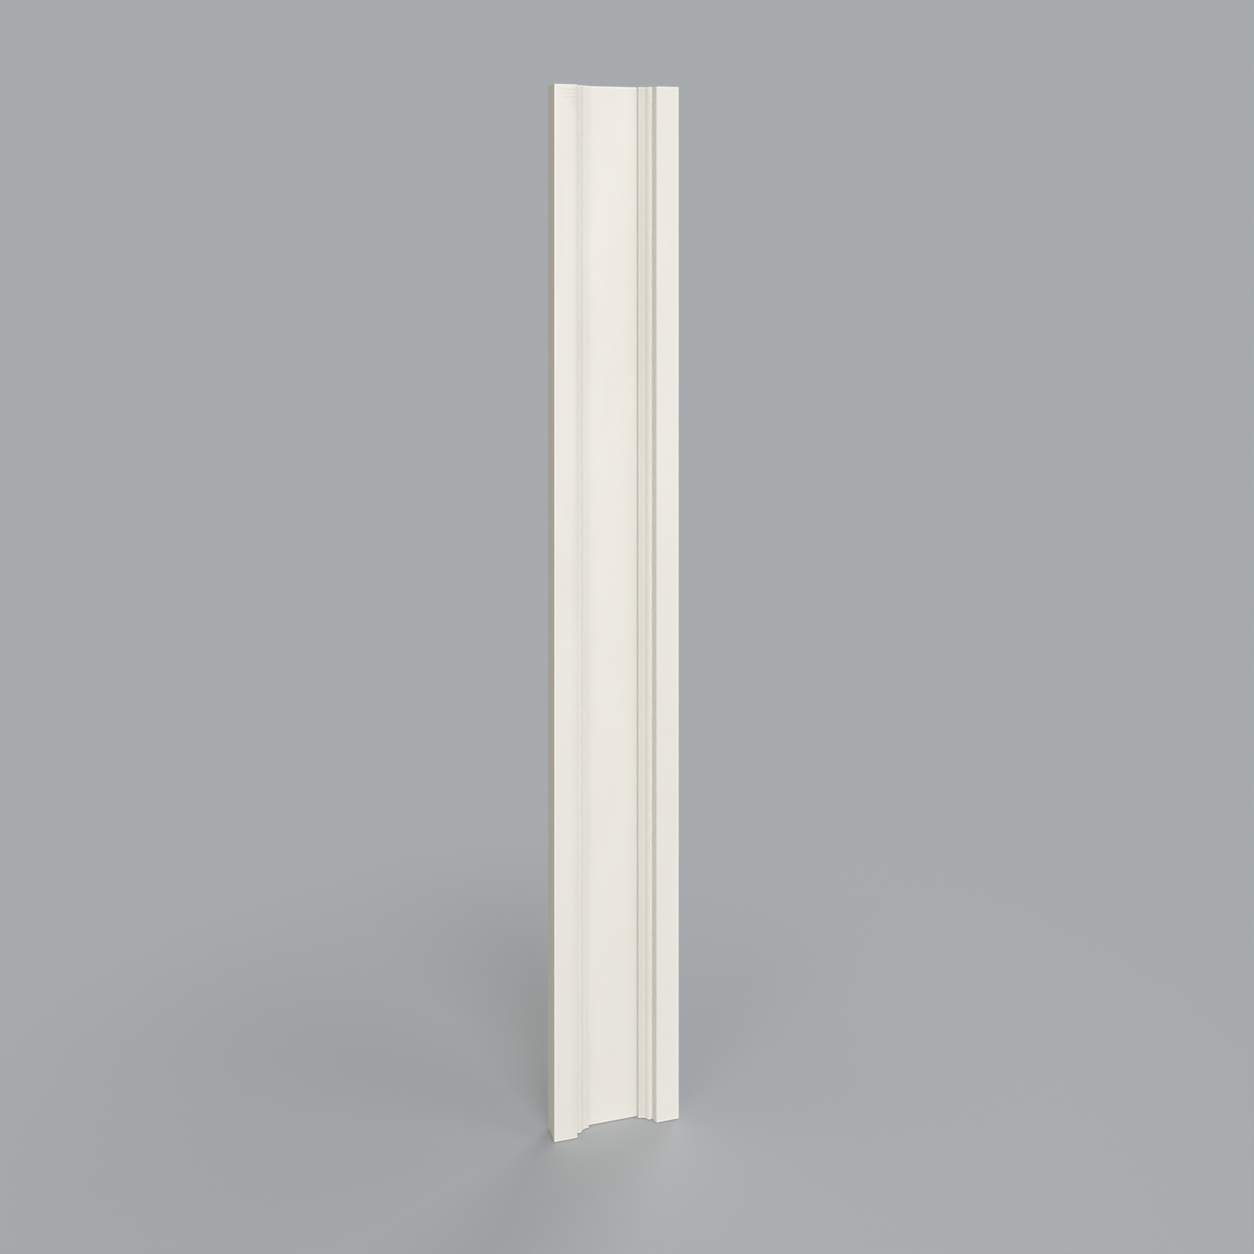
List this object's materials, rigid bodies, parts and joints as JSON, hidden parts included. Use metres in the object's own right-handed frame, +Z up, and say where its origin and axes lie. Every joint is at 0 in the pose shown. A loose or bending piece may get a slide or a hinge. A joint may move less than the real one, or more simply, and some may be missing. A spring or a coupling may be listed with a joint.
{
  "type": "pilaster",
  "caption": "Tall flat wall pilaster shaft with a sunk centre panel between stepped mouldings and plain bands, square at foot and head.",
  "frame": {"origin": "middle of the foot of the back face, where the shaft meets the wall", "axes": "+Z up the shaft, +Y into the wall, so the moulded face looks to -Y and +X runs to the right across it"},
  "size_m": [0.249, 0.047, 2],
  "materials": {
    "primed_casting": "smooth matt ivory primer over a cast rigid foam body"
  },
  "bodies": {
    "root": {"pilaster_shaft": "primed_casting"}
  },
  "joints": []
}
